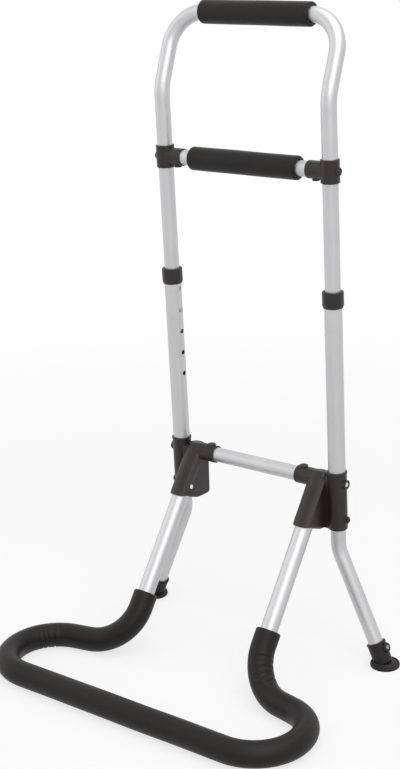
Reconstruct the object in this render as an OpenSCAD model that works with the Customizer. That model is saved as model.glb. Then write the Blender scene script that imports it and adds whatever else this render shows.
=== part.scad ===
// Couch standing aid: a bent base tube with a foam sleeve, two moulded brackets,
// two telescopic uprights and an inverted U handle frame with two foam grips.
// Millimetres. Origin on the floor, under the middle of the overall box.
// +X runs to the right along the grips, +Y to the back, +Z up.

/* [Tubes] */
// Outer diameter of the base tube and of the lower uprights
outer_tube_d = 25.4; // [24:0.1:28]
// Outer diameter of the upper frame, crossbar, middle handle and rear legs
inner_tube_d = 22.2; // [20:0.1:22.6]
// Wall of every aluminium tube
tube_wall = 1.2; // [1:0.1:1.5]

/* [Frame] */
// Distance between the axes of the two uprights
upright_spacing = 286; // [276:1:320]
// Forward lean of the uprights, in degrees
lean_angle = 2; // [0:0.5:6]
// Height of the crossbar axis above the floor
crossbar_height = 277; // [265:1:320]
// Length of each lower upright, from inside the bracket to inside the collar
lower_tube_length = 310; // [300:1:360]
// Distance from the crossbar down to the bend of a rear leg
rear_bend_drop = 104; // [100:1:120]
// Outward angle of the rear legs below that bend, in degrees
rear_leg_angle = 24; // [15:1:30]
// Centreline radius of the rear leg bend
rear_bend_r = 50; // [40:1:70]

/* [Height setting] */
// Number of height holes in each lower upright
hole_count = 5; // [3:1:6]
// Distance between two height holes
hole_step = 33.5; // [25:0.5:36]
// Diameter of the height holes
hole_d = 7; // [6.8:0.1:8]
// Distance from the rim of the collar down to the first height hole
first_hole_drop = 8; // [6:0.5:12]
// Hole in use, counted from the top
hole_used = 2; // [1:1:3]

/* [Base loop] */
// Distance between the two front legs
leg_spacing = 228; // [222:1:240]
// Angle of the front legs from the vertical, in degrees
leg_angle = 35.8; // [32:0.2:40]
// Distance from the middle out to the axis of the side of the loop
loop_half_width = 253; // [245:1:290]
// Forward angle of the floor tube between a leg and the rear corner of the loop
loop_angle = 12.2; // [8:0.2:16]
// Centreline radius where a leg turns onto the floor
leg_bend_r = 72; // [60:1:80]
// Centreline radius of the rear corner of the loop
rear_corner_r = 65; // [55:1:68]
// Centreline radius of the front corner of the loop
front_corner_r = 69; // [55:1:90]
// Straight length between those two corners
loop_side_length = 2; // [1:0.5:60]
// Diameter of the foam sleeve on the base
base_foam_d = 36.8; // [32:0.1:42]
// Height above the floor at which the foam starts on the legs
base_foam_top = 88; // [80:1:110]

/* [Handle] */
// Distance from the crossbar up to the middle handle
handle_height = 457.5; // [445:0.5:470]
// Distance from the crossbar up to the backward bend
sweep_height = 557; // [545:1:590]
// Backward angle of the tubes above that bend, in degrees
sweep_angle = 22.2; // [15:0.1:30]
// Length from the backward bend to the axis of the top bar
sweep_length = 111.5; // [105:0.5:140]
// Centreline radius of the backward bend
sweep_r = 70; // [50:1:90]
// Centreline radius of the two top corners
top_corner_r = 52; // [45:1:60]
// Diameter of both foam grips
grip_d = 34; // [30:0.5:40]
// Length of the top grip
top_grip_length = 186; // [150:1:188]
// Length of the middle grip
middle_grip_length = 185; // [150:1:190]
// Length of the upper frame below its locking button
tube_below_button = 29; // [29:1:50]

/* [Mouldings] */
// Outer diameter of the vertical sleeve of a bracket
upright_sleeve_d = 28.8; // [28.6:0.1:31]
// Outer depth of the front leg sleeve of a bracket
leg_sleeve_d = 28.8; // [28.6:0.1:31]
// Height of a bracket sleeve above the crossbar axis
bracket_up = 18.3; // [16:0.5:30]
// Height of a bracket sleeve below the crossbar axis
bracket_down = 72; // [66:1:85]
// Length of the front leg sleeve below the crossbar axis
leg_sleeve_down = 73; // [66:1:80]
// Distance from the front leg axis to either flat side of the bracket
cheek = 14.4; // [14.3:0.1:16]
// Radius of the bowed front of the front leg sleeve
front_bow_r = 21.6; // [18:0.2:40]
// Backward fall of the arched top and of the lower end of that sleeve, in degrees
arch_angle = 21.3; // [16:0.1:28]
// Height of the web between the sleeves, below the crossbar axis
web_down = 69.6; // [60:0.2:72]
// Wall of the hollow web of a bracket
web_wall = 3; // [2:0.5:4]
// Distance from the middle to the open end of a crossbar socket
crossbar_socket_x = 75.3; // [72:0.1:86]
// Outer diameter of the crossbar socket
crossbar_socket_d = 26.6; // [26:0.2:30]
// Outer diameter of the collar
collar_d = 30.8; // [29:0.2:36]
// Height of the collar
collar_height = 23.5; // [20:0.5:30]
// Depth of the tube seat in the collar
collar_seat = 18; // [14:0.5:18]
// Outer diameter of the sleeve of a T-connector
tee_d = 27; // [25.6:0.2:30]
// Height of the sleeve of a T-connector
tee_height = 33; // [29:1:44]
// Outer diameter of the side socket of a T-connector
tee_socket_d = 25.2; // [25:0.2:28]
// Distance from the middle to the open end of that socket
tee_socket_x = 109; // [104:0.5:116]

/* [Feet] */
// Diameter of the flange of a rubber foot
foot_flange_d = 44; // [40:1:60]
// Thickness of that flange
foot_flange_t = 4.5; // [3:0.5:6]
// Outer diameter of the sleeve of a foot
foot_sleeve_d = 28; // [27.4:0.2:32]
// Length of leg inside the foot
foot_sleeve_length = 31; // [26:1:40]
// Rubber under the end of the leg
foot_floor_t = 7; // [6:0.5:12]

/* [Buttons and fits] */
// Diameter of the locking buttons of the upper frame
height_button_d = 6.4; // [5:0.1:6.4]
// Diameter of the locking buttons in the brackets
lock_button_d = 7.6; // [6:0.1:8]
// Radial clearance of pieces that slide
slide_gap = 0.05; // [0.03:0.01:0.1]
// Radial clearance of pieces that are pushed together and stay
seat_gap = 0.05; // [0.02:0.01:0.1]
// Radial clearance of a button in its hole
button_gap = 0.1; // [0.05:0.01:0.15]
// Radial clearance of foam on its tube
foam_gap = 0.1; // [0.05:0.05:0.3]

/* [Hidden] */
$fn = 64;

aluminium = "#c4c4c6";
moulded = "#2c2b2c";
foam = "#3a3837";
rubber = "#242323";
steel = "#d8d8da";

LEFT = -1;
RIGHT = 1;
EPS = 0.01;

upright_x = upright_spacing / 2;
leg_x = leg_spacing / 2;
outer_r = outer_tube_d / 2;
outer_bore_r = outer_r - tube_wall;
inner_r = inner_tube_d / 2;
inner_bore_r = inner_r - tube_wall;

// The top bar, measured in the plane of the uprights from the crossbar
top_back = sweep_length * sin(sweep_angle);
top_up = sweep_height + sweep_length * cos(sweep_angle);

// Base loop: reach of its corners to the front of the crossbar
base_z = base_foam_d / 2;
leg_foot_reach = (crossbar_height - base_z) * tan(leg_angle);
loop_corner_reach = leg_foot_reach + (loop_half_width - leg_x) * tan(loop_angle);
base_reach = loop_corner_reach + rear_corner_r * tan(45 - loop_angle / 2)
    + loop_side_length + front_corner_r;

// Reach of the object to the front and to the back of the crossbar
front_reach = base_reach + base_foam_d / 2;
grip_rear = top_back * cos(lean_angle) - top_up * sin(lean_angle) + grip_d / 2;
foot_rear = crossbar_height * tan(lean_angle) + foot_flange_d / 2;
rear_reach = max(grip_rear, foot_rear);
crossbar_y = (front_reach - rear_reach) / 2;

// A point of the right half, dx outwards, dy back and h up along an upright
function on_upright(h, dy = 0, dx = 0) = [
    upright_x + dx,
    crossbar_y + dy * cos(lean_angle) - h * sin(lean_angle),
    crossbar_height + h * cos(lean_angle) + dy * sin(lean_angle)];

// A point of the right front leg, s up along the leg from the crossbar
function on_leg(s) = [leg_x, crossbar_y + s * sin(leg_angle),
    crossbar_height + s * cos(leg_angle)];

function unit(v) = v / norm(v);
function flipped(v) = [-v[0], v[1], v[2]];

// Heights along an upright, from the crossbar
shelf_top = -27;
shelf_t = 3.5;
lower_tube_top = shelf_top + lower_tube_length;
collar_top = lower_tube_top + collar_height - collar_seat;
collar_bottom = collar_top - collar_height;
first_hole = collar_bottom - first_hole_drop;
button_h = first_hole - (hole_used - 1) * hole_step;
upper_tube_end = button_h - tube_below_button;

// Path of the base tube, and of the foam on it
leg_foot_s = -(crossbar_height - base_z) / cos(leg_angle);
leg_end_s = sqrt(cheek * cheek - outer_r * outer_r) - 3.5;
loop_y = crossbar_y - loop_corner_reach;
bar_y = crossbar_y - base_reach;
base_right = [on_leg(leg_end_s), on_leg(leg_foot_s),
    [loop_half_width, loop_y, base_z], [loop_half_width, bar_y, base_z]];
base_path = concat(base_right, [for (i = [3:-1:0]) flipped(base_right[i])]);
base_radii = [leg_bend_r, rear_corner_r, front_corner_r,
    front_corner_r, rear_corner_r, leg_bend_r];
foam_start = on_leg((base_foam_top - crossbar_height) / cos(leg_angle));
foam_right = concat([foam_start], [for (i = [1:3]) base_right[i]]);
foam_path = concat(foam_right, [for (i = [3:-1:0]) flipped(foam_right[i])]);

// Handle frame
frame_right = [on_upright(upper_tube_end), on_upright(sweep_height),
    on_upright(top_up, top_back)];
frame_path = concat(frame_right, [for (i = [2:-1:0]) flipped(frame_right[i])]);
frame_radii = [sweep_r, top_corner_r, top_corner_r, sweep_r];

// Rear leg
leg_top_h = shelf_top - shelf_t - 0.5;
rear_dir = [sin(rear_leg_angle), -cos(rear_leg_angle)];
rear_floor = (crossbar_height / cos(lean_angle) - rear_bend_drop) / cos(rear_leg_angle);
rear_length = rear_floor - foot_floor_t;
rear_knee = on_upright(-rear_bend_drop);
function on_rear(l) = on_upright(l * rear_dir[1] - rear_bend_drop, 0, l * rear_dir[0]);
rear_path = [on_upright(leg_top_h), rear_knee, on_rear(rear_length)];
rear_axis = unit(rear_knee - on_rear(rear_length));
foot_at = on_rear(rear_floor);

// Locking buttons and their clips
clip_t = 0.8;
clip_w = 6;
clip_leg = 20;
clip_play = 0.2;
height_clip_r = inner_bore_r - 0.6;
lock_clip_r = outer_bore_r - 0.6;
button_proud = 1.5;
leg_button_s = -58.5;
leg_button_tip = cheek + 0.4;
boss_r = 6.8;
boss_proud = 3;
boss_hole_r = 4.4;
screw_inset = 9.5;
crossbar_boss_r = 6.6;
crossbar_boss_proud = 2.6;
crossbar_screw_recess = 1.6;
rear_boss_r = 5.4;
rear_boss_proud = 3.2;
tee_boss_r = 6;
tee_boss_proud = 2.2;
lower_boss_r = 5.6;
lower_boss_proud = 2.4;
tee_screw_recess = 1.6;
foot_boss_r = 7.4;
foot_boss_proud = 4;
foot_pin_recess = 1.8;
upright_button_tip = upright_sleeve_d / 2 + boss_proud - 0.4;
rear_screw_h = -56;

// Places a child on the right or, mirrored, on the left
module side(s) {
    if (s == RIGHT) children();
    else mirror([1, 0, 0]) children();
}

// Local frame of the right upright: Z up along it, X outwards
module at_upright(h = 0) {
    translate(on_upright(h)) rotate([lean_angle, 0, 0]) children();
}

// Local frame of the right front leg: Z up along it, X outwards
module at_leg(s = 0) {
    translate(on_leg(s)) rotate([-leg_angle, 0, 0]) children();
}

// Local frame at a point with Z along a direction
module along(p, z) {
    x = abs(z[2]) > 0.9 ? unit(cross([0, 1, 0], z)) : unit(cross([0, 0, 1], z));
    y = cross(z, x);
    multmatrix([[x[0], y[0], z[0], p[0]], [x[1], y[1], z[1], p[1]],
        [x[2], y[2], z[2], p[2]], [0, 0, 0, 1]]) children();
}

module ring(r, bore) {
    difference() {
        circle(r);
        if (bore > 0) circle(bore);
    }
}

// Straight length of tube from a to b
module straight(a, b, r, bore) {
    if (norm(b - a) > EPS)
        along(a, unit(b - a)) linear_extrude(norm(b - a)) ring(r, bore);
}

// One bend of a tube: it enters along u, leaves along v, and its corner is p
module bend(p, u, v, bend_r, r, bore) {
    turn = acos(u * v);
    start = p - u * bend_r * tan(turn / 2);
    inward = unit(v - u * (u * v));
    centre = start + inward * bend_r;
    x = -inward;
    z = cross(x, u);
    multmatrix([[x[0], u[0], z[0], centre[0]], [x[1], u[1], z[1], centre[1]],
        [x[2], u[2], z[2], centre[2]], [0, 0, 0, 1]])
        rotate_extrude(angle = turn) translate([bend_r, 0]) ring(r, bore);
}

function turn_at(p, i) = acos(unit(p[i] - p[i - 1]) * unit(p[i + 1] - p[i]));
function setback(p, radii, i) =
    (i == 0 || i == len(p) - 1) ? 0 : radii[i - 1] * tan(turn_at(p, i) / 2) - lap;

// A tube along a path of corners, with a centreline radius at each inner corner.
// Straight lengths reach a little way into the bends, which are a hair fuller.
lap = 0.5;
swell = 0.04;
module bent_tube(p, radii, r, bore) {
    union() {
        for (i = [0:len(p) - 2]) {
            u = unit(p[i + 1] - p[i]);
            straight(p[i] + u * setback(p, radii, i),
                p[i + 1] - u * setback(p, radii, i + 1), r, bore);
        }
        for (i = [1:len(p) - 2])
            bend(p[i], unit(p[i] - p[i - 1]), unit(p[i + 1] - p[i]), radii[i - 1],
                r + swell, bore - swell);
    }
}

// A round bar with rounded edges at both ends, along Z from 0 to h
module soft_bar(r, h, edge) {
    rotate_extrude() {
        translate([0, edge]) square([r, h - 2 * edge]);
        square([r - edge, h]);
        for (z = [edge, h - edge]) translate([r - edge, z]) intersection() {
            circle(edge);
            translate([0, -edge]) square([edge, 2 * edge]);
        }
    }
}

// Cylinder along X, from x0 outwards
module cross_bar(x0, x1, r) {
    translate([x0, 0, 0]) rotate([0, 90, 0]) cylinder(r = r, h = x1 - x0);
}

/* Base */

module base_tube() {
    color(aluminium) difference() {
        bent_tube(base_path, base_radii, outer_r, outer_bore_r);
        for (s = [LEFT, RIGHT]) side(s) at_leg(leg_button_s)
            cross_bar(-outer_tube_d, 0, lock_button_d / 2 + button_gap);
    }
}

module base_foam() {
    color(foam) bent_tube(foam_path, base_radii, base_foam_d / 2, outer_r + foam_gap);
}

// Web between the sleeves, seen from the side: Y back, Z up from the crossbar
web_back = 10.4;
web_chamfer = 3;
web_reach = 3 * leg_sleeve_d;
web_top = 14;
bead = 0.6;
bead_height = 4;
lower_corner_r = 5;
rib_front = 11;
rib_top = 8;

module web_outline() {
    polygon([[-web_reach, web_top], [-web_reach, -web_down],
        [web_back - web_chamfer, -web_down], [web_back, web_chamfer - web_down],
        [web_back, web_top]]);
}

// Open space inside the web, behind the front leg
module web_core() {
    core_front = leg_sleeve_d / 2 + 1;
    core_back = web_back - web_wall;
    core_top = (core_back - core_front / cos(leg_angle)) / tan(leg_angle);
    core_low = -bracket_down - 4;
    polygon([[core_low * tan(leg_angle) + core_front / cos(leg_angle), core_low],
        [core_back, core_low], [core_back, core_top]]);
}

// Front of the leg sleeve: an arch over straight sides, with rounded lower corners
module arch() {
    circle(cheek);
    translate([-cheek, lower_corner_r - leg_sleeve_down])
        square([2 * cheek, leg_sleeve_down - lower_corner_r]);
    translate([lower_corner_r - cheek, -leg_sleeve_down])
        square([2 * (cheek - lower_corner_r), lower_corner_r + EPS]);
    for (x = [-1, 1]) translate([x * (cheek - lower_corner_r), lower_corner_r - leg_sleeve_down])
        circle(lower_corner_r);
}

// Leg sleeve and web in one: the arch, bowed along the leg in front, flat behind
module arched_web() {
    bow_t = front_bow_r - leg_sleeve_d / 2;
    intersection() {
        translate([leg_x, crossbar_y, crossbar_height]) rotate([90 - arch_angle, 0, 0])
            translate([0, 0, -web_reach]) linear_extrude(2 * web_reach) arch();
        translate([leg_x - cheek - 1, crossbar_y, crossbar_height])
            rotate([90, 0, 90]) linear_extrude(2 * cheek + 2) web_outline();
        at_leg() union() {
            translate([0, bow_t, -2 * web_reach]) cylinder(r = front_bow_r, h = 4 * web_reach);
            translate([-cheek - 2, bow_t, -2 * web_reach])
                cube([2 * cheek + 4, 2 * web_reach, 4 * web_reach]);
        }
    }
}

module bracket(s) {
    seat_r = outer_r + seat_gap;
    bar_seat_r = inner_r + seat_gap;
    sleeve_r = upright_sleeve_d / 2;
    sleeve_length = bracket_down + bracket_up;
    color(moulded) side(s) difference() {
        union() {
            at_upright() translate([0, 0, -bracket_down]) soft_bar(sleeve_r, sleeve_length, 1);
            at_upright(bracket_up - bead_height) soft_bar(sleeve_r + bead, bead_height, 1);
            arched_web();
            at_upright() translate([leg_x - upright_x, -rib_front, 1 - bracket_down])
                cube([upright_x - leg_x, rib_front + web_back - 2, bracket_down - 1 + rib_top]);
            translate([0, crossbar_y, crossbar_height])
                cross_bar(crossbar_socket_x, leg_x, crossbar_socket_d / 2);
            translate([crossbar_socket_x + screw_inset, crossbar_y, crossbar_height])
                soft_bar(crossbar_boss_r, crossbar_socket_d / 2 + crossbar_boss_proud, 1.4);
            at_upright() cross_bar(0, sleeve_r + boss_proud, boss_r);
            at_upright(rear_screw_h) cross_bar(0, sleeve_r + rear_boss_proud, rear_boss_r);
        }
        at_upright(shelf_top) cylinder(r = seat_r, h = sleeve_length);
        at_upright(-bracket_down - 1)
            cylinder(r = bar_seat_r, h = bracket_down + 1 + shelf_top - shelf_t);
        at_upright(shelf_top - shelf_t - 1) cylinder(r = 8, h = shelf_t + 2);
        at_leg(-2 * leg_sleeve_down)
            cylinder(r = seat_r, h = 2 * leg_sleeve_down + leg_end_s + 0.5);
        translate([0, crossbar_y, crossbar_height])
            cross_bar(crossbar_socket_x - 1, crossbar_end + 0.4, bar_seat_r);
        translate([leg_x - cheek + web_wall, crossbar_y, crossbar_height])
            rotate([90, 0, 90]) linear_extrude(2 * (cheek - web_wall)) web_core();
        at_leg(leg_button_s) cross_bar(-cheek - 1, 0, lock_button_d / 2 + button_gap);
        at_leg(leg_button_s) cross_bar(-cheek - 1, -cheek + 0.8, lock_button_d / 2 + 1.2);
        at_upright() cross_bar(0, 2 * cheek, boss_hole_r);
        translate([crossbar_socket_x + screw_inset, crossbar_y, crossbar_height])
            cylinder(r = screw_shank_r + seat_gap, h = crossbar_socket_d);
        translate([crossbar_socket_x + screw_inset, crossbar_y, crossbar_height + crossbar_screw_top])
            cylinder(r = screw_head_r + 0.6, h = crossbar_socket_d);
        at_upright(rear_screw_h) cross_bar(0, upright_sleeve_d, screw_shank_r + seat_gap);
    }
}

module lower_tube(s) {
    color(aluminium) side(s) difference() {
        at_upright(shelf_top) linear_extrude(lower_tube_length) ring(outer_r, outer_bore_r);
        for (i = [0:hole_count - 1]) at_upright(first_hole - i * hole_step)
            cross_bar(-outer_tube_d, 0, hole_d / 2);
        at_upright() cross_bar(0, outer_tube_d, lock_button_d / 2 + button_gap);
    }
}

// Guide collar: seat for the lower tube below, running bore for the inner tube above
module collar(s) {
    color(moulded) side(s) at_upright(collar_bottom) difference() {
        rotate_extrude() {
            translate([0, 4]) square([collar_d / 2, collar_height - 5]);
            square([collar_d / 2 - 4, 5]);
            translate([collar_d / 2 - 4, 4]) circle(4);
            square([collar_d / 2 - 1, collar_height]);
        }
        translate([0, 0, -4]) cylinder(r = collar_d, h = 4);
        translate([0, 0, -1]) cylinder(r = outer_r + seat_gap, h = collar_seat + 1);
        cylinder(r = inner_r + slide_gap, h = collar_height + 1);
        translate([0, 0, collar_height - 1.2])
            cylinder(r1 = inner_r + slide_gap, r2 = inner_r + 1.4, h = 1.3);
    }
}

crossbar_end = leg_x - outer_r - 2.2;
crossbar_screw_top = crossbar_socket_d / 2 + crossbar_boss_proud - crossbar_screw_recess;

module crossbar() {
    color(aluminium) translate([0, crossbar_y, crossbar_height]) difference() {
        rotate([0, 90, 0]) translate([0, 0, -crossbar_end])
            linear_extrude(2 * crossbar_end) ring(inner_r, inner_bore_r);
        for (s = [LEFT, RIGHT]) side(s) translate([crossbar_socket_x + screw_inset, 0, 0])
            cylinder(r = screw_shank_r + seat_gap, h = inner_tube_d);
    }
}

module rear_leg(s) {
    color(aluminium) side(s) difference() {
        bent_tube(rear_path, [rear_bend_r], inner_r, inner_bore_r);
        at_upright(rear_screw_h) cross_bar(0, inner_tube_d, screw_shank_r + seat_gap);
        along(on_rear(foot_pin_l), rear_axis)
            cross_bar(0, inner_tube_d, screw_shank_r + seat_gap);
    }
}

foot_pin_l = rear_length - foot_sleeve_length + 11;
foot_top_l = rear_length - foot_sleeve_length;
foot_pin_face = foot_sleeve_d / 2 + foot_boss_proud - foot_pin_recess;

module foot(s) {
    lip = 1.6;
    color(rubber) side(s) difference() {
        union() {
            translate([foot_at[0], foot_at[1], 0])
                soft_bar(foot_flange_d / 2, foot_flange_t, lip);
            translate([foot_at[0], foot_at[1], foot_flange_t - EPS])
                cylinder(r1 = foot_flange_d / 2 - 3, r2 = foot_sleeve_d / 2, h = 3.5);
            along(on_rear(rear_floor - 6), rear_axis)
                soft_bar(foot_sleeve_d / 2, rear_floor - 6 - foot_top_l, 1.2);
            along(on_rear(foot_top_l + 2.4), rear_axis) cylinder(r = foot_sleeve_d / 2 + 0.6, h = 1.6);
            translate([foot_at[0], foot_at[1], foot_flange_t]) rotate_extrude()
                translate([foot_flange_d / 2 - lip, 0]) circle(lip - 0.2);
            along(on_rear(foot_pin_l), rear_axis) rotate([0, 90, 0])
                soft_bar(foot_boss_r, foot_sleeve_d / 2 + foot_boss_proud, 2.4);
        }
        along(on_rear(rear_length), rear_axis)
            cylinder(r = inner_r + seat_gap, h = 2 * foot_sleeve_length);
        along(on_rear(foot_pin_l), rear_axis)
            cross_bar(0, foot_flange_d, screw_shank_r + seat_gap);
        along(on_rear(foot_pin_l), rear_axis)
            cross_bar(foot_pin_face, foot_flange_d, screw_head_r + 0.6);
        translate([foot_at[0], foot_at[1], -20]) cylinder(r = foot_flange_d, h = 20);
        for (r = [8, 14]) translate([foot_at[0], foot_at[1], -1]) linear_extrude(2)
            ring(r + 1.5, r);
    }
}

/* Fasteners */

screw_shank_r = 1.8;
screw_head_r = 3.4;

// Pan head screw along X: its head sits on the face at x
module side_screw(x, grip) {
    cross_bar(x - grip, x + EPS, screw_shank_r);
    difference() {
        translate([x, 0, 0]) rotate([0, 90, 0]) rotate_extrude() {
            square([screw_head_r - 1, 2]);
            square([screw_head_r, 1]);
            translate([screw_head_r - 1, 1]) circle(1);
        }
        for (a = [0, 90]) translate([x + 1.2, 0, 0]) rotate([a, 0, 0])
            translate([0, -2, -0.4]) cube([2, 4, 0.8]);
    }
}

module crossbar_screws() {
    color(moulded) for (s = [LEFT, RIGHT]) side(s)
        translate([crossbar_socket_x + screw_inset, crossbar_y, crossbar_height])
        rotate([0, -90, 0]) side_screw(crossbar_screw_top, crossbar_screw_top - inner_bore_r + 2);
}

module bracket_screws() {
    face = upright_sleeve_d / 2 + rear_boss_proud;
    color(moulded) for (s = [LEFT, RIGHT]) side(s) at_upright(rear_screw_h)
        side_screw(face, face - inner_bore_r + 2);
}

module foot_pins() {
    color(steel) for (s = [LEFT, RIGHT]) side(s) along(on_rear(foot_pin_l), rear_axis)
        side_screw(foot_pin_face, foot_pin_face - inner_bore_r + 2);
}

// Domed button along X, from its clip at x0 to its tip at x1
module button(x0, x1, r) {
    dome = 1.2;
    cross_bar(x0, x1 - dome, r);
    translate([x1 - dome, 0, 0]) rotate([0, 90, 0]) rotate_extrude() {
        square([r - dome, dome]);
        translate([r - dome, 0]) intersection() {
            circle(dome);
            square(dome);
        }
    }
}

// U clip in a tube: two legs along Z, joined by a half ring below, open at the top
module clip(r) {
    rotate([90, 0, 0]) translate([0, 0, -clip_w / 2]) linear_extrude(clip_w) {
        for (x = [-r, r - clip_t]) translate([x, -clip_leg + 8]) square([clip_t, clip_leg]);
        translate([0, 8 - clip_leg]) intersection() {
            ring(r, r - clip_t);
            translate([-r, -r]) square([2 * r, r]);
        }
    }
}

module leg_button(s) {
    color(steel) side(s) at_leg(leg_button_s) mirror([1, 0, 0])
        button(lock_clip_r, leg_button_tip, lock_button_d / 2);
}

module leg_clip(s) {
    color(steel) side(s) at_leg(leg_button_s) clip(lock_clip_r);
}

module upright_button(s) {
    color(steel) side(s) at_upright()
        button(lock_clip_r, upright_button_tip, lock_button_d / 2);
}

module upright_clip(s) {
    color(steel) side(s) at_upright() clip(lock_clip_r);
}

module height_button(s) {
    color(steel) side(s) at_upright(button_h) mirror([1, 0, 0])
        button(height_clip_r, outer_r + button_proud, height_button_d / 2);
}

module height_clip(s) {
    color(steel) side(s) at_upright(button_h) clip(height_clip_r);
}

/* Handle frame */

module upper_frame() {
    color(aluminium) difference() {
        bent_tube(frame_path, frame_radii, inner_r, inner_bore_r);
        for (s = [LEFT, RIGHT]) side(s) {
            at_upright(button_h) cross_bar(-inner_tube_d, 0, height_button_d / 2 + button_gap);
            at_upright(handle_height) cross_bar(0, inner_tube_d, screw_shank_r + seat_gap);
        }
    }
}

module top_grip() {
    p = on_upright(top_up, top_back);
    color(foam) translate([-top_grip_length / 2, p[1], p[2]]) rotate([0, 90, 0]) difference() {
        soft_bar(grip_d / 2, top_grip_length, 3);
        translate([0, 0, -1]) cylinder(r = inner_r + foam_gap, h = top_grip_length + 2);
    }
}

handle_end = upright_x - inner_r - 1.5;
handle_at = on_upright(handle_height);
lower_screw_x = 120;
tee_screw_x = tee_d / 2 + tee_boss_proud - tee_screw_recess;
lower_screw_z = tee_socket_d / 2 + lower_boss_proud - tee_screw_recess;

module handle_tube() {
    color(aluminium) translate([0, handle_at[1], handle_at[2]]) difference() {
        rotate([0, 90, 0]) translate([0, 0, -handle_end])
            linear_extrude(2 * handle_end) ring(inner_r, inner_bore_r);
        rotate([lean_angle, 0, 0]) for (s = [LEFT, RIGHT]) side(s)
            translate([lower_screw_x, 0, -inner_tube_d])
            cylinder(r = screw_shank_r + seat_gap, h = inner_tube_d);
    }
}

module middle_grip() {
    color(foam) translate([-middle_grip_length / 2, handle_at[1], handle_at[2]])
        rotate([0, 90, 0]) difference() {
        soft_bar(grip_d / 2, middle_grip_length, 3);
        translate([0, 0, -1]) cylinder(r = inner_r + foam_gap, h = middle_grip_length + 2);
    }
}

module tee(s) {
    reach = upright_x - tee_socket_x;
    color(moulded) side(s) at_upright(handle_height) difference() {
        union() {
            translate([0, 0, -tee_height / 2]) soft_bar(tee_d / 2, tee_height, 1.2);
            cross_bar(-reach, 0, tee_socket_d / 2);
            rotate([0, 90, 0]) soft_bar(tee_boss_r, tee_d / 2 + tee_boss_proud, 1);
            translate([lower_screw_x - upright_x, 0, 0]) rotate([180, 0, 0])
                soft_bar(lower_boss_r, tee_socket_d / 2 + lower_boss_proud, 1);
        }
        translate([0, 0, -tee_height]) cylinder(r = inner_r + seat_gap, h = 2 * tee_height);
        cross_bar(-reach - 1, -upright_x + handle_end + 0.3, inner_r + seat_gap);
        cross_bar(0, tee_d, screw_shank_r + seat_gap);
        translate([lower_screw_x - upright_x, 0, -tee_d])
            cylinder(r = screw_shank_r + seat_gap, h = tee_d);
        cross_bar(tee_screw_x, tee_d, screw_head_r + 0.5);
        translate([lower_screw_x - upright_x, 0, -tee_d])
            cylinder(r = screw_head_r + 0.5, h = tee_d - lower_screw_z);
    }
}

module tee_side_screws() {
    color(moulded) for (s = [LEFT, RIGHT]) side(s) at_upright(handle_height)
        side_screw(tee_screw_x, tee_screw_x - inner_bore_r + 2);
}

module tee_lower_screws() {
    color(moulded) for (s = [LEFT, RIGHT]) side(s) at_upright(handle_height)
        translate([lower_screw_x - upright_x, 0, 0]) rotate([0, 90, 0])
        side_screw(lower_screw_z, lower_screw_z - inner_bore_r + 2);
}

// Bush on the lower end of an inner upright, running in the lower tube
module guide_bush(s) {
    color(moulded) side(s) at_upright(upper_tube_end) difference() {
        union() {
            translate([0, 0, -9]) soft_bar(outer_bore_r - slide_gap, 9, 1);
            translate([0, 0, -EPS]) cylinder(r = inner_bore_r - seat_gap, h = 8);
        }
        translate([0, 0, -10]) cylinder(r = inner_bore_r - 2.5, h = 20);
    }
}

base_tube();
base_foam();
bracket(LEFT);  // bracket_left
bracket(RIGHT);  // bracket_right
lower_tube(LEFT);  // lower_tube_left
lower_tube(RIGHT);  // lower_tube_right
collar(LEFT);  // collar_left
collar(RIGHT);  // collar_right
crossbar();
rear_leg(LEFT);  // rear_leg_left
rear_leg(RIGHT);  // rear_leg_right
foot(LEFT);  // foot_left
foot(RIGHT);  // foot_right
foot_pins();
leg_button(LEFT);  // leg_button_left
leg_button(RIGHT);  // leg_button_right
leg_clip(LEFT);  // leg_clip_left
leg_clip(RIGHT);  // leg_clip_right
upright_button(LEFT);  // upright_button_left
upright_button(RIGHT);  // upright_button_right
upright_clip(LEFT);  // upright_clip_left
upright_clip(RIGHT);  // upright_clip_right
crossbar_screws();
bracket_screws();
upper_frame();
top_grip();
handle_tube();
middle_grip();
tee(LEFT);  // tee_left
tee(RIGHT);  // tee_right
tee_side_screws();
tee_lower_screws();
guide_bush(LEFT);  // guide_bush_left
guide_bush(RIGHT);  // guide_bush_right
height_button(LEFT);  // height_button_left
height_button(RIGHT);  // height_button_right
height_clip(LEFT);  // height_clip_left
height_clip(RIGHT);  // height_clip_right
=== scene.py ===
"""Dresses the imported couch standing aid: tubes, foam sleeves, moulded connectors and a plain studio."""
import logging
import math
from dataclasses import dataclass, field
from enum import Enum
from typing import Callable, Sequence

import bmesh
import bpy
import numpy as np
from mathutils import Matrix, Vector


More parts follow.
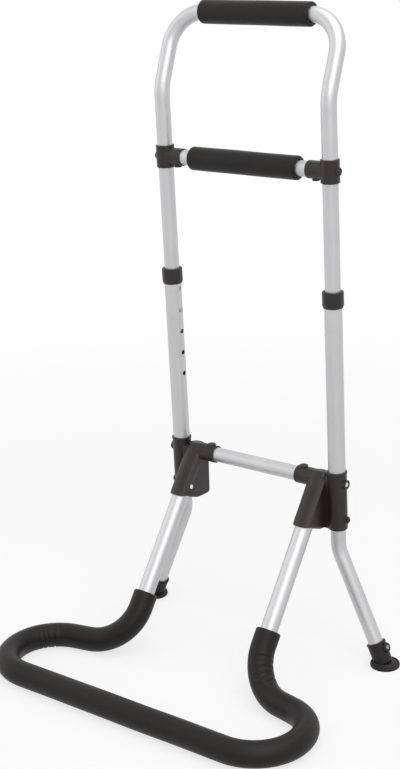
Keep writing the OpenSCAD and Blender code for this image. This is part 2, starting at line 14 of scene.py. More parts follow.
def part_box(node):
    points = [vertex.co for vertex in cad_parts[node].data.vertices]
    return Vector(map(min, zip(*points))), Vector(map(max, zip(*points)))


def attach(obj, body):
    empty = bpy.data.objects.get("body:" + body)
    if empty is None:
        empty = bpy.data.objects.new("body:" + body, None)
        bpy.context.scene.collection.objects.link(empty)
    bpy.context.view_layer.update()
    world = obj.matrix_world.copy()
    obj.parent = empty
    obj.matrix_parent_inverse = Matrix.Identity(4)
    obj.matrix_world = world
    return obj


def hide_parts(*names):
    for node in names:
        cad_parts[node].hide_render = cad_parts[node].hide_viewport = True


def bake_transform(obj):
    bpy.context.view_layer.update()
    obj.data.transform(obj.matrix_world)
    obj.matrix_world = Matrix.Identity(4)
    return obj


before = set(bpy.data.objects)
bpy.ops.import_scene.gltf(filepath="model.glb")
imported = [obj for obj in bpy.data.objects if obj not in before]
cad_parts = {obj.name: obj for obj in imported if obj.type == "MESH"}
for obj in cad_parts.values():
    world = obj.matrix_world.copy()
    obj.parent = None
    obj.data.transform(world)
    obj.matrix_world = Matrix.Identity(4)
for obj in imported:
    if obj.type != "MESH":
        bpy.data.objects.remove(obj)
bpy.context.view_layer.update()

MM = 0.001
MERGE_DISTANCE = 0.002 * MM
FLAT_ANGLE = math.radians(0.6)
SHARP_ANGLE = math.radians(32)
TUBE_SIDES, TUBE_STEP, TUBE_RIM = 48, 3 * MM, 0.3 * MM
FOAM_SIDES, FOAM_STEP, FOAM_GAP = 56, 1.5 * MM, 0.5 * MM
log = logging.getLogger("standing_aid")


class Side(Enum):
    """Which half of the object a piece belongs to; the value is the sign of its X."""

    LEFT = -1
    RIGHT = 1

    @property
    def word(self) -> str:
        """The side's name as the nodes spell it."""
        return self.name.lower()


class Slot(Enum):
    """The record's material slots."""

    ALUMINIUM = "aluminium"
    MOULDING = "moulding"
    FOAM = "foam"
    RUBBER = "rubber"
    STEEL = "steel"


# Routes and surfaces


def unit(v: np.ndarray) -> np.ndarray:
    """The vectors along the last axis, scaled to length 1."""
    return v / np.linalg.norm(v, axis=-1, keepdims=True)


class Route:
    """A centreline of straight lengths joined by arcs.

    A straight length is start + u * d. An arc of radius R that enters along u and
    turns towards n is start + u * R * sin(d / R) + n * R * (1 - cos(d / R)).
    """

    def __init__(self, corners: Sequence[Sequence[float]], radii: Sequence[float]) -> None:
        """Works out the pieces of the route.

        Args:
            corners: The points where the straight lengths would meet, in metres.
            radii: The centreline radius at each inner corner, in metres.
        """
        points = np.array(corners, float)
        radius = np.array(radii, float)
        ways = unit(np.diff(points, axis=0))
        dots = np.clip(np.sum(ways[:-1] * ways[1:], axis=1), -1.0, 1.0)
        turns = np.arccos(dots)
        backs = np.concatenate([[0.0], radius * np.tan(turns / 2), [0.0]])
        runs = np.linalg.norm(np.diff(points, axis=0), axis=1) - backs[:-1] - backs[1:]
        count = 2 * len(ways) - 1
        self.start = np.zeros((count, 3))
        self.u = np.zeros((count, 3))
        self.n = np.zeros((count, 3))
        self.radius = np.ones(count)
        self.is_arc = np.zeros(count, bool)
        lengths = np.zeros(count)
        self.start[0::2] = points[:-1] + ways * backs[:-1, None]
        self.u[0::2] = ways
        lengths[0::2] = runs
        self.start[1::2] = points[1:-1] - ways[:-1] * backs[1:-1, None]
        self.u[1::2] = ways[:-1]
        self.n[1::2] = unit(ways[1:] - ways[:-1] * dots[:, None])
        self.radius[1::2] = radius
        self.is_arc[1::2] = True
        lengths[1::2] = radius * turns
        self.ends = np.cumsum(lengths)
        self.begins = self.ends - lengths
        self.length = float(self.ends[-1])

    def arc(self, index: int) -> tuple[float, float]:
        """Where one arc starts and ends along the route.

        Args:
            index: Which arc, from 0.

        Returns:
            The two distances from the route's start.
        """
        return float(self.begins[2 * index + 1]), float(self.ends[2 * index + 1])

    def at(self, s: np.ndarray) -> tuple[np.ndarray, np.ndarray, np.ndarray]:
        """Points, tangents and inward directions at distances along the route.

        Args:
            s: Distances from the start, in metres.

        Returns:
            Three arrays of vectors. The inward direction is zero on straight lengths.
        """
        i = np.clip(np.searchsorted(self.ends, s), 0, len(self.ends) - 1)
        d = s - self.begins[i]
        arc = self.is_arc[i][:, None]
        r = self.radius[i][:, None]
        a = d[:, None] / r
        bent = self.u[i] * r * np.sin(a) + self.n[i] * r * (1 - np.cos(a))
        point = self.start[i] + np.where(arc, bent, self.u[i] * d[:, None])
        tangent = np.where(arc, self.u[i] * np.cos(a) + self.n[i] * np.sin(a), self.u[i])
        inward = np.where(arc, self.n[i] * np.cos(a) - self.u[i] * np.sin(a), 0.0)
        return point, tangent, inward


Relief = Callable[[np.ndarray, np.ndarray, np.ndarray], np.ndarray]


def carried(route: Route, s: np.ndarray, r: np.ndarray, sides: int,
            reference: Sequence[float], relief: Relief | None = None) -> tuple[np.ndarray, np.ndarray]:
    """A round profile carried along a route.

    Each point is route(s) + (side * cos v + up * sin v) * (r + relief(s, v, toward)),
    where side is the tangent crossed with the reference, up is side crossed with the
    tangent, and toward is the cosine between the point's direction and the inside of
    the bend.

    Args:
        route: The centreline.
        s: Distance along the route of each station.
        r: Radius of each station.
        sides: Number of points round the profile.
        reference: A direction that the route never runs along.
        relief: Height added to the radius, or None.

    Returns:
        The grid of points, stations by sides, and the grid of (s, arc length) pairs.
    """
    point, tangent, inward = route.at(s)
    side = unit(np.cross(tangent, np.array(reference, float)))
    up = np.cross(side, tangent)
    v = np.linspace(0.0, 2 * math.pi, sides, endpoint=False)
    spoke = side[:, None, :] * np.cos(v)[None, :, None] + up[:, None, :] * np.sin(v)[None, :, None]
    height = np.repeat(r[:, None], sides, axis=1)
    if relief is not None:
        toward = np.sum(spoke * inward[:, None, :], axis=2)
        height = height + relief(s[:, None], v[None, :], toward)
    grid = point[:, None, :] + spoke * height[:, :, None]
    flat = np.stack(np.broadcast_arrays(s[:, None], v[None, :] * float(r.max())), axis=-1)
    return grid, flat


def grid_mesh(name: str, grid: np.ndarray, flat: np.ndarray) -> bpy.types.Object:
    """A smooth mesh from a grid of points that is closed along both of its axes.

    Args:
        name: The piece's name.
        grid: Points, stations by sides by 3, in metres.
        flat: UV coordinates of the same points, in metres.

    Returns:
        The new object, at the origin.
    """
    rows, sides = grid.shape[:2]
    i, j = np.meshgrid(np.arange(rows), np.arange(sides), indexing="ij")
    k, m = (i + 1) % rows, (j + 1) % sides
    quads = np.stack([i * sides + j, k * sides + j, k * sides + m, i * sides + m], axis=-1).reshape(-1, 4)
    width = flat[0, 1, 1] - flat[0, 0, 1]
    uv_j = flat[i, j, 1]
    along = np.where(k == 0, flat[i, j, 0], flat[k, j, 0])
    uvs = np.stack([
        np.stack([flat[i, j, 0], uv_j], -1), np.stack([along, uv_j], -1),
        np.stack([along, uv_j + width], -1), np.stack([flat[i, j, 0], uv_j + width], -1),
    ], axis=2).reshape(-1, 2)
    mesh = bpy.data.meshes.new(name)
    mesh.vertices.add(rows * sides)
    mesh.vertices.foreach_set("co", grid.reshape(-1).astype(np.float32))
    mesh.loops.add(quads.size)
    mesh.loops.foreach_set("vertex_index", quads.reshape(-1).astype(np.int32))
    mesh.polygons.add(len(quads))
    mesh.polygons.foreach_set("loop_start", np.arange(0, quads.size, 4, dtype=np.int32))
    mesh.update(calc_edges=True)
    mesh.uv_layers.new(name="along").data.foreach_set("uv", uvs.reshape(-1).astype(np.float32))
    mesh.polygons.foreach_set("use_smooth", np.ones(len(quads), bool))
    mesh.validate()
    piece = bpy.data.objects.new(name, mesh)
    bpy.context.scene.collection.objects.link(piece)
    return piece


@dataclass(frozen=True)
class Wave:
    """One slow wave in a foam skin: height * sin(s / reach + turns * v + shift)."""

    height: float
    reach: float
    turns: int
    shift: float = 0.0

    def over(self, s: np.ndarray, v: np.ndarray) -> np.ndarray:
        """The wave's height at distances along the route and angles round it."""
        return self.height * np.sin(s / self.reach + self.turns * v + self.shift)


def hollow_profile(length: float, outer: float, inner: float, edge: float, step: float,
                   bore_step: float = 8 * MM) -> tuple[np.ndarray, np.ndarray]:
    """The closed profile of a sleeve or tube: outside, rounded rim, bore and rim again.

    Between the rims the radius is constant. A rim is a quarter circle of the edge's
    radius, (edge * (1 - sin a), outer - edge * (1 - cos a)), and the bore returns at
    the inner radius from the far rim to the near one.

    Args:
        length: Length along the route.
        outer: Outer radius.
        inner: Bore radius.
        edge: Radius of the rounding of the outer rims.
        step: Distance between stations on the outside.
        bore_step: Distance between stations in the bore.

    Returns:
        Distances along the route and radii, one of each per station.
    """
    a = np.linspace(0.0, math.pi / 2, 7)
    rim_s, rim_r = edge * (1 - np.sin(a)), outer - edge * (1 - np.cos(a))
    body = np.linspace(edge, length - edge, max(3, int(round((length - 2 * edge) / step)) + 1))
    bore = np.linspace(length, 0.0, int(length / bore_step) + 2)[1:-1]
    s = np.concatenate([[0.0], rim_s[::-1], body[1:-1], length - rim_s, [length], bore])
    r = np.concatenate([
        [inner], rim_r[::-1], np.full(len(body) - 2, outer), rim_r, [inner], np.full(len(bore), inner)])
    return s, r


def tube(name: str, route: Route, diameter: float, wall: float,
         reference: Sequence[float]) -> bpy.types.Object:
    """A metal tube: a round, hollow profile with a broken rim, carried along a route.

    Args:
        name: The piece's name.
        route: The tube's centreline.
        diameter: Its outer diameter.
        wall: Its wall thickness.
        reference: A direction that the route never runs along.

    Returns:
        The new piece.
    """
    s, r = hollow_profile(route.length, diameter / 2, diameter / 2 - wall, TUBE_RIM, TUBE_STEP)
    grid, flat = carried(route, s, r, TUBE_SIDES, reference)
    return grid_mesh(name, grid, flat)


# Materials


def linear(colour: str) -> tuple[float, float, float, float]:
    """Turns an sRGB colour to the linear values that shaders take.

    A channel c up to 0.04045 becomes c / 12.92, and a greater one becomes
    ((c + 0.055) / 1.055) ** 2.4.

    Args:
        colour: The colour as #RRGGBB.

    Returns:
        Red, green, blue and an alpha of 1.
    """
    parts = np.array([int(colour[i:i + 2], 16) for i in (1, 3, 5)]) / 255.0
    low = parts / 12.92
    high = ((parts + 0.055) / 1.055) ** 2.4
    return (*np.where(parts <= 0.04045, low, high).tolist(), 1.0)


def add_node(owner: bpy.types.ID, kind: str, settings: dict | None = None, links: dict | None = None,
             stops: Sequence[tuple[float, str]] = ()) -> bpy.types.Node:
    """Adds one node to a material or world.

    Args:
        owner: The material or world.
        kind: The node's type name without its ShaderNode prefix.
        settings: Property names or input names and numbers, with their values.
        links: Input names and numbers, with the output sockets that feed them.
        stops: The two stops of a colour ramp, each a place and an sRGB hex colour.

    Returns:
        The new node.
    """
    node = owner.node_tree.nodes.new("ShaderNode" + kind)
    for key, value in (settings or {}).items():
        if isinstance(key, str) and hasattr(node, key):
            setattr(node, key, value)
        else:
            node.inputs[key].default_value = value
    for key, socket in (links or {}).items():
        owner.node_tree.links.new(socket, node.inputs[key])
    for index, (place, colour) in enumerate(stops):
        node.color_ramp.elements[index].position = place
        node.color_ramp.elements[index].color = linear(colour)
    return node


def new_material(name: str) -> bpy.types.Material:
    """A material with an empty node tree.

    Args:
        name: The material's name.

    Returns:
        The material.
    """
    material = bpy.data.materials.new(name)
    material.use_nodes = True
    material.node_tree.nodes.clear()
    return material


@dataclass(frozen=True)
class DrawnAluminium:
    """Clear-anodised drawn aluminium tube.

    Drawing leaves hair-fine lines along the tube, and the etch before anodising
    breaks its mirror into a soft silver-grey glow with broad bright bands.
    """

    name: str = "anodised_drawn_aluminium"
    light: str = "#CACACB"
    dark: str = "#C0C0C2"
    roughness: float = 0.44
    # Real drawing lines are a few hundredths wide, too fine to show, so these are coarser.
    line_width: float = 0.5 * MM
    line_length: float = 60 * MM
    line_height: float = 0.02 * MM
    cloud_size: float = 55.5 * MM

    def build(self, direction: Sequence[float] | None = None) -> bpy.types.Material:
        """Makes the material: lines in the bump, lines and a slow cloud in tone and gloss.

        Args:
            direction: The tube's own direction, for nodes without UV coordinates,
                or None where the piece's UV map runs along the tube.

        Returns:
            The material.
        """
        label = self.name if direction is None else self.name + "_" + "_".join(f"{c:.2f}" for c in direction)
        material = new_material(label)
        coordinates = add_node(material, "TexCoord")
        stretched = (1 / self.line_length, 1 / self.line_width, 1 / self.line_width)
        if direction is None:
            socket = coordinates.outputs["UV"]
            turn = (0.0, 0.0, 0.0)
        else:
            socket = coordinates.outputs["Object"]
            turn = tuple(Vector(direction).rotation_difference(Vector((1, 0, 0))).to_euler("XYZ"))
        turned = add_node(material, "Mapping", {"vector_type": "POINT", "Rotation": turn}, {"Vector": socket})
        placed = add_node(material, "Mapping", {"vector_type": "POINT", "Scale": stretched},
                          {"Vector": turned.outputs["Vector"]})
        lines = add_node(material, "TexNoise", {"Scale": 1.0, "Detail": 3.0, "Roughness": 0.6},
                         {"Vector": placed.outputs["Vector"]})
        cloud = add_node(material, "TexNoise",
                         {"Scale": 1 / self.cloud_size, "Detail": 2.0, "Roughness": 0.5},
                         {"Vector": coordinates.outputs["Object"]})
        mixed = add_node(material, "Mix", {"data_type": "FLOAT", 0: 0.35},
                         {2: lines.outputs["Fac"], 3: cloud.outputs["Fac"]})
        tone = add_node(material, "ValToRGB", links={"Fac": mixed.outputs[0]},
                        stops=((0.35, self.dark), (0.65, self.light)))
        gloss = add_node(material, "MapRange", {
            "From Min": 0.3, "From Max": 0.7,
            "To Min": self.roughness - 0.05, "To Max": self.roughness + 0.05,
        }, {"Value": mixed.outputs[0]})
        bump = add_node(material, "Bump", {"Strength": 0.06, "Distance": self.line_height},
                        {"Height": lines.outputs["Fac"]})
        shader = add_node(material, "BsdfPrincipled", {"Metallic": 1.0}, {
            "Base Color": tone.outputs["Color"], "Roughness": gloss.outputs["Result"],
            "Normal": bump.outputs["Normal"],
        })
        add_node(material, "OutputMaterial", links={"Surface": shader.outputs["BSDF"]})
        return material


@dataclass(frozen=True)
class Grained:
    """A dark polymer with a fine all-over grain: moulded nylon, foam skin or rubber."""

    name: str
    light: str
    dark: str
    roughness: float
    grain: float
    grain_height: float
    strength: float
    mottle: float = 25 * MM
    specular: float = 0.5
    sheen: float = 0.0

    def build(self) -> bpy.types.Material:
        """Makes the material: a slow mottle in the colour, a fine grain in the bump.

        Returns:
            The material.
        """
        material = new_material(self.name)
        place = add_node(material, "TexCoord").outputs["Object"]
        slow = add_node(material, "TexNoise", {"Scale": 1 / self.mottle, "Detail": 4.0, "Roughness": 0.55},
                        {"Vector": place})
        fine = add_node(material, "TexVoronoi", {"feature": "F1", "Scale": 1 / self.grain}, {"Vector": place})
        grit = add_node(material, "TexNoise", {"Scale": 0.6 / self.grain, "Detail": 3.0}, {"Vector": place})
        tone = add_node(material, "ValToRGB", links={"Fac": slow.outputs["Fac"]},
                        stops=((0.32, self.dark), (0.68, self.light)))
        grain = add_node(material, "Mix", {"data_type": "FLOAT", 0: 0.5},
                         {2: fine.outputs["Distance"], 3: grit.outputs["Fac"]})
        bump = add_node(material, "Bump", {"Strength": self.strength, "Distance": self.grain_height},
                        {"Height": grain.outputs[0]})
        gloss = add_node(material, "MapRange", {
            "From Min": 0.3, "From Max": 0.7,
            "To Min": self.roughness - 0.06, "To Max": self.roughness + 0.06,
        }, {"Value": grit.outputs["Fac"]})
        shader = add_node(material, "BsdfPrincipled", {
            "Specular IOR Level": self.specular, "Sheen Weight": self.sheen, "Sheen Roughness": 0.5,
        }, {
            "Base Color": tone.outputs["Color"], "Roughness": gloss.outputs["Result"],
            "Normal": bump.outputs["Normal"],
        })
        add_node(material, "OutputMaterial", links={"Surface": shader.outputs["BSDF"]})
        return material


@dataclass(frozen=True)
class PolishedSteel:
    """Nickel-plated spring steel: bright, with faint turning marks on the buttons."""

    name: str = "nickel_plated_spring_steel"
    light: str = "#E6E6E8"
    dark: str = "#CFCFD2"
    roughness: float = 0.16
    mark_size: float = 1.111 * MM

    def build(self) -> bpy.types.Material:
        """Makes the material: faint marks in tone and gloss.

        Returns:
            The material.
        """
        material = new_material(self.name)
        place = add_node(material, "TexCoord").outputs["Object"]
        marks = add_node(material, "TexNoise", {"Scale": 1 / self.mark_size, "Detail": 2.0},
                         {"Vector": place})
        tone = add_node(material, "ValToRGB", links={"Fac": marks.outputs["Fac"]},
                        stops=((0.3, self.dark), (0.7, self.light)))
        gloss = add_node(material, "MapRange", {
            "From Min": 0.3, "From Max": 0.7,
            "To Min": self.roughness - 0.04, "To Max": self.roughness + 0.06,
        }, {"Value": marks.outputs["Fac"]})
        shader = add_node(material, "BsdfPrincipled", {"Metallic": 1.0}, {
            "Base Color": tone.outputs["Color"], "Roughness": gloss.outputs["Result"],
        })
        add_node(material, "OutputMaterial", links={"Surface": shader.outputs["BSDF"]})
        return material


# The grains below are drawn a few times coarser than the real ones, which are too fine
# to show. Glass-filled nylon: a spark-eroded grain that turns the light into a dull sheen.
MOULDED_NYLON = Grained("moulded_black_nylon", light="#292222", dark="#211B1B", roughness=0.4,
                        grain=0.5 * MM, grain_height=0.03 * MM, strength=0.35, specular=0.36)
# Nitrile foam with its skin on: velvety, with closed pores under a millimetre across.
FOAM_SKIN = Grained("nitrile_foam_skin", light="#181110", dark="#110C0B", roughness=0.46,
                    grain=0.8 * MM, grain_height=0.05 * MM, strength=0.4, specular=0.25, sheen=0.01)
# Black moulded rubber: darker and softer than the nylon.
FOOT_RUBBER = Grained("moulded_black_rubber", light="#1A1615", dark="#131010", roughness=0.48,
                      grain=0.6 * MM, grain_height=0.04 * MM, strength=0.4, specular=0.3)
ALUMINIUM = DrawnAluminium()
STEEL = PolishedSteel()
# The height buttons rub against the tube between holes, which dulls their plating. The foot pins take the
# same darker steel as painted shade, standing in for the shadow of the hole in the foot's boss that they sit
# in.
RUBBED_AND_SHADED_STEEL = PolishedSteel("rubbed_steel_with_painted_shade", light="#A9AAAD", dark="#8F9094", roughness=0.34)


class Palette:
    """The finished materials, each made once."""

    def __init__(self) -> None:
        """Makes the materials that many pieces share."""
        self.tube = ALUMINIUM.build()
        self.nylon = MOULDED_NYLON.build()
        self.foam = FOAM_SKIN.build()
        self.rubber = FOOT_RUBBER.build()
        self.steel = STEEL.build()
        self.rubbed_and_shaded_steel = RUBBED_AND_SHADED_STEEL.build()
        self.straight: dict[tuple[float, float, float], bpy.types.Material] = {}

    def tube_along(self, direction: tuple[float, float, float]) -> bpy.types.Material:
        """Aluminium whose drawing lines run along a direction, for nodes without UVs.

        Args:
            direction: The tube's own direction.

        Returns:
            The material, made at its first use.
        """
        if direction not in self.straight:
            self.straight[direction] = ALUMINIUM.build(direction)
        return self.straight[direction]


# Placing pieces


def dress(piece: bpy.types.Object, material: bpy.types.Material, body: str,
          nodes: Sequence[str]) -> bpy.types.Object:
    """Gives a piece its material and body, and hides the CAD nodes that it replaces.

    Args:
        piece: The new piece, in place.
        material: Its material.
        body: The body that it rides on.
        nodes: The CAD nodes that it replaces.

    Returns:
        The piece.
    """
    piece.data.materials.clear()
    piece.data.materials.append(material)
    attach(piece, body)
    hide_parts(*nodes)
    log.info("%s rides on %s and stands for %s", piece.name, body, ", ".join(nodes))
    return piece


def paint(node: str, material: bpy.types.Material) -> None:
    """Gives a CAD node that stays a better material.

    Args:
        node: The CAD node.
        material: Its material.
    """
    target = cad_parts[node]
    target.data.materials.clear()
    target.data.materials.append(material)
    log.info("%s keeps its solid, in %s", node, material.name)


def merged_copy(node: str, name: str) -> bpy.types.Object:
    """A smooth copy of a CAD node with doubled points merged and flat faces joined.

    Args:
        node: The CAD node.
        name: The copy's name.

    Returns:
        The copy, shaded smooth except at edges sharper than SHARP_ANGLE.
    """
    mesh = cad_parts[node].data.copy()
    mesh.name = name
    work = bmesh.new()
    work.from_mesh(mesh)
    bmesh.ops.remove_doubles(work, verts=work.verts, dist=MERGE_DISTANCE)
    bmesh.ops.dissolve_limit(work, angle_limit=FLAT_ANGLE, verts=work.verts, edges=work.edges)
    for face in work.faces:
        face.smooth = True
    work.to_mesh(mesh)
    work.free()
    mesh.set_sharp_from_angle(angle=SHARP_ANGLE)
    piece = bpy.data.objects.new(name, mesh)
    bpy.context.scene.collection.objects.link(piece)
    return piece


def softened(node: str, name: str, width: float) -> bpy.types.Object:
    """A copy of a CAD node with its sharp edges rounded, as a mould leaves them.

    A bevel of two segments runs along every edge sharper than the limit.

    Args:
        node: The CAD node.
        name: The piece's name.
        width: Width of the rounding, in metres.

    Returns:
        The new piece.
    """
    piece = merged_copy(node, name)
    bevel = piece.modifiers.new("rounded_edges", "BEVEL")
    bevel.width = width
    bevel.segments = 2
    bevel.limit_method = "ANGLE"
    bevel.angle_limit = SHARP_ANGLE
    bevel.use_clamp_overlap = True
    bevel.harden_normals = True
    return piece


def sprung_clip(name: str, side: Side, body: str, material: bpy.types.Material) -> None:
    """A smooth copy of a spring clip's CAD node, in its material, which hides the node.

    Args:
        name: The button's name without its side, such as "leg".
        side: Which half of the object.
        body: The body named in the log; the copy is not attached to it.
        material: The clip's material.
    """
    clip, button = f"{name}_clip_{side.word}", f"{name}_button_{side.word}"
    piece = merged_copy(clip, f"{clip}_strip")
    piece.data.materials.clear()
    piece.data.materials.append(material)
    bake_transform(piece)
    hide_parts(clip)
    log.info("%s bends between %s and %s", piece.name, body, button)


# The object


@dataclass
class Layout:
    """Places that the sub-assemblies share, in metres, as in the part's source."""

    upright_x: float = 143 * MM
    leg_x: float = 114 * MM
    lean: float = math.radians(2)
    leg_angle: float = math.radians(35.8)
    tube_wall: float = 1.2 * MM
    outer_tube: float = 25.4 * MM
    inner_tube: float = 22.2 * MM
    crossing: Vector = field(default_factory=lambda: sum(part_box("crossbar"), Vector()) / 2)

    def on_upright(self, h: float, dy: float = 0.0, dx: float = 0.0) -> np.ndarray:
        """A point of the right half, placed from the upright's crossing with the crossbar.

        Args:
            h: Distance up along the upright.
            dy: Distance behind it, square to it.
            dx: Distance outwards from it.

        Returns:
            The point.
        """
        return np.array([
            self.upright_x + dx,
            self.crossing.y + dy * math.cos(self.lean) - h * math.sin(self.lean),
            self.crossing.z + h * math.cos(self.lean) + dy * math.sin(self.lean),
        ])

    def on_leg(self, s: float) -> np.ndarray:
        """A point on the centreline of the right front leg.

        Args:
            s: Distance up along the leg from the crossbar's height.

        Returns:
            The point.
        """
        return np.array([
            self.leg_x,
            self.crossing.y + s * math.sin(self.leg_angle),
            self.crossing.z + s * math.cos(self.leg_angle),
        ])


def mirrored(corners: Sequence[np.ndarray]) -> list[np.ndarray]:
    """Corners of the right half followed by their mirror images, last first."""
    return list(corners) + [point * (-1, 1, 1) for point in reversed(corners)]


class Bend(Enum):
    """The creased bends of the foam, by their number along its route."""

    RIGHT_LEG = 0
    LEFT_CORNER = 4
    LEFT_LEG = 5


@dataclass
class BaseFrame:
    """Floor loop with its foam, legs, brackets, lower uprights, crossbar and feet."""

    layout: Layout
    foam_diameter: float = 36.8 * MM
    foam_top: float = 88 * MM
    loop_half_width: float = 253 * MM
    loop_angle: float = math.radians(12.2)
    loop_radii: tuple[float, ...] = (72 * MM, 65 * MM, 69 * MM)
    side_length: float = 2 * MM
    rear_bend_drop: float = 104 * MM
    rear_angle: float = math.radians(24)
    rear_radius: float = 50 * MM
    rear_top: float = -31 * MM
    rear_end_height: float = 7 * MM
    foam_edge: float = 3.2 * MM
    crease_depth: float = 2.1 * MM
    crease_width: float = 1.15 * MM
    crease_wander: float = 1.2 * MM
    crease_fades_at: float = -0.15
    crease_full_at: float = 0.6
    bulge_share: float = 0.3
    bulge_place: float = 2.2
    bracket_rounding: float = 0.8 * MM
    collar_rounding: float = 0.6 * MM
    foot_rounding: float = 0.7 * MM

    def loop_corners(self, start: np.ndarray) -> list[np.ndarray]:
        """The loop's corners from a point of the right leg round to the left leg.

        Args:
            start: The first point, on the right leg.

        Returns:
            The corners of the right half and then of the left half.
        """
        z = self.foam_diameter / 2
        crossing = self.layout.crossing
        turn, corner, front = self.loop_radii
        foot_y = crossing.y - (crossing.z - z) * math.tan(self.layout.leg_angle)
        corner_y = foot_y - (self.loop_half_width - self.layout.leg_x) * math.tan(self.loop_angle)
        quarter = math.pi / 4 - self.loop_angle / 2
        bar_y = corner_y - corner * math.tan(quarter) - self.side_length - front
        return mirrored([
            start, np.array([self.layout.leg_x, foot_y, z]),
            np.array([self.loop_half_width, corner_y, z]), np.array([self.loop_half_width, bar_y, z]),
        ])

    def build(self, palette: Palette) -> None:
        """Makes and dresses every piece of the base.

        Args:
            palette: The materials.
        """
        self.foam(palette)
        self.rear_legs(palette)
        leg_way = (0.0, -math.sin(self.layout.leg_angle), -math.cos(self.layout.leg_angle))
        paint("base_tube", palette.tube_along(leg_way))
        paint("crossbar", palette.tube_along((1.0, 0.0, 0.0)))
        for side in Side:
            paint(f"lower_tube_{side.word}", palette.tube_along(
                (0.0, -math.sin(self.layout.lean), math.cos(self.layout.lean))))
            for name, width in (("bracket", self.bracket_rounding), ("collar", self.collar_rounding)):
                node = f"{name}_{side.word}"
                piece = softened(node, f"{node}_moulded", width)
                dress(piece, palette.nylon, "base", [node])
            node = f"foot_{side.word}"
            piece = softened(node, f"{node}_moulded", self.foot_rounding)
            dress(piece, palette.rubber, "base", [node])
            for name in ("leg", "upright"):
                paint(f"{name}_button_{side.word}", palette.steel)
                sprung_clip(name, side, "base", palette.steel)
        # The foot pins' darker steel is painted shade for the hole that they sit in.
        paint("foot_pins", palette.rubbed_and_shaded_steel)
        for node in ("crossbar_screws", "bracket_screws"):
            paint(node, palette.nylon)

    def foam(self, palette: Palette) -> None:
        """The foam sleeve: a skin carried along the loop, creased inside its bends.

        The skin's height over the smooth sleeve is a slow swell, three waves long
        enough to be felt only in the highlights, minus the creases. A crease is
        depth * exp(-(distance / width) ** 2) at its place along the route, with a
        low bulge on both sides of it. A smooth step fades both from the inside of the
        bend to the side of the sleeve.

        Args:
            palette: The materials.
        """
        layout = self.layout
        start = layout.on_leg((self.foam_top - layout.crossing.z) / math.cos(layout.leg_angle))
        turn, corner, front = self.loop_radii
        route = Route(self.loop_corners(start), [turn, corner, front, front, corner, turn])
        creases, depths = self.crease_places(route)
        waves = (Wave(0.12 * MM, 31 * MM, 1), Wave(0.1 * MM, 47 * MM, 2, 1.3),
                 Wave(0.08 * MM, 19 * MM, -3, 0.4))

        def relief(s: np.ndarray, v: np.ndarray, toward: np.ndarray) -> np.ndarray:
            """Height of the skin over the smooth sleeve.

            Args:
                s: Distances along the route.
                v: Angles round it.
                toward: Cosines between the points' directions and the bend's inside.

            Returns:
                The heights.
            """
            swell = sum(wave.over(s, v) for wave in waves)
            step = (toward - self.crease_fades_at) / (self.crease_full_at - self.crease_fades_at)
            inside = np.clip(step, 0.0, 1.0)
            inside = inside * inside * (3 - 2 * inside)
            aslant = self.crease_wander * np.sin(2 * v)
            gap = (s[..., None] - aslant[..., None] - creases) / self.crease_width
            fold = np.sum(depths * np.exp(-gap * gap), axis=-1)
            beside = np.abs(gap) - self.bulge_place
            bulge = self.bulge_share * np.sum(depths * np.exp(-beside * beside), axis=-1)
            return swell + inside * (bulge - fold)

        s, r = hollow_profile(route.length, self.foam_diameter / 2, layout.outer_tube / 2 + FOAM_GAP,
                              self.foam_edge, FOAM_STEP)
        grid, flat = carried(route, s, r, FOAM_SIDES, (0, 0, 1), relief)
        sleeve = grid_mesh("base_foam_sleeve", grid, flat)
        piece = dress(sleeve, palette.foam, "base", ["base_foam"])

    def crease_places(self, route: Route) -> tuple[np.ndarray, np.ndarray]:
        """Where the creases lie along the foam's route, and how deep each is.

        Args:
            route: The foam's centreline.

        Returns:
            Distances along the route and depths, in metres.
        """
        # For each bend, the creases' places as shares of its length, and their weights.
        creases = {
            Bend.RIGHT_LEG: ((0.18, 0.27, 0.35, 0.46, 0.54, 0.63), (1.0, 0.4, 0.8, 1.0, 0.4, 0.9)),
            Bend.LEFT_CORNER: ((0.3, 0.4, 0.5, 0.64), (0.6, 0.8, 0.7, 0.8)),
            Bend.LEFT_LEG: ((0.3, 0.45, 0.56, 0.7), (0.12, 0.18, 0.15, 0.12)),
        }
        places, depths = [], []
        for bend, (shares, weights) in creases.items():
            begin, end = route.arc(bend.value)
            places.append(begin + np.array(shares) * (end - begin))
            depths.append(np.array(weights) * self.crease_depth)
        return np.concatenate(places), np.concatenate(depths)

    def rear_legs(self, palette: Palette) -> None:
        """Smooth rear legs: a tube profile carried along one bend.

        Args:
            palette: The materials.
        """
        layout = self.layout
        reach = (layout.crossing.z / math.cos(layout.lean) - self.rear_bend_drop) / math.cos(self.rear_angle)
        reach -= self.rear_end_height
        end = layout.on_upright(-self.rear_bend_drop - reach * math.cos(self.rear_angle), 0.0,
                                reach * math.sin(self.rear_angle))
        for side in Side:
            flip = np.array([side.value, 1, 1])
            corners = [layout.on_upright(self.rear_top) * flip,
                       layout.on_upright(-self.rear_bend_drop) * flip, end * flip]
            node = f"rear_leg_{side.word}"
            piece = tube(node + "_tube", Route(corners, [self.rear_radius]), layout.inner_tube,
                         layout.tube_wall, (0, 1, 0))
            dress(piece, palette.tube, "base", [node])


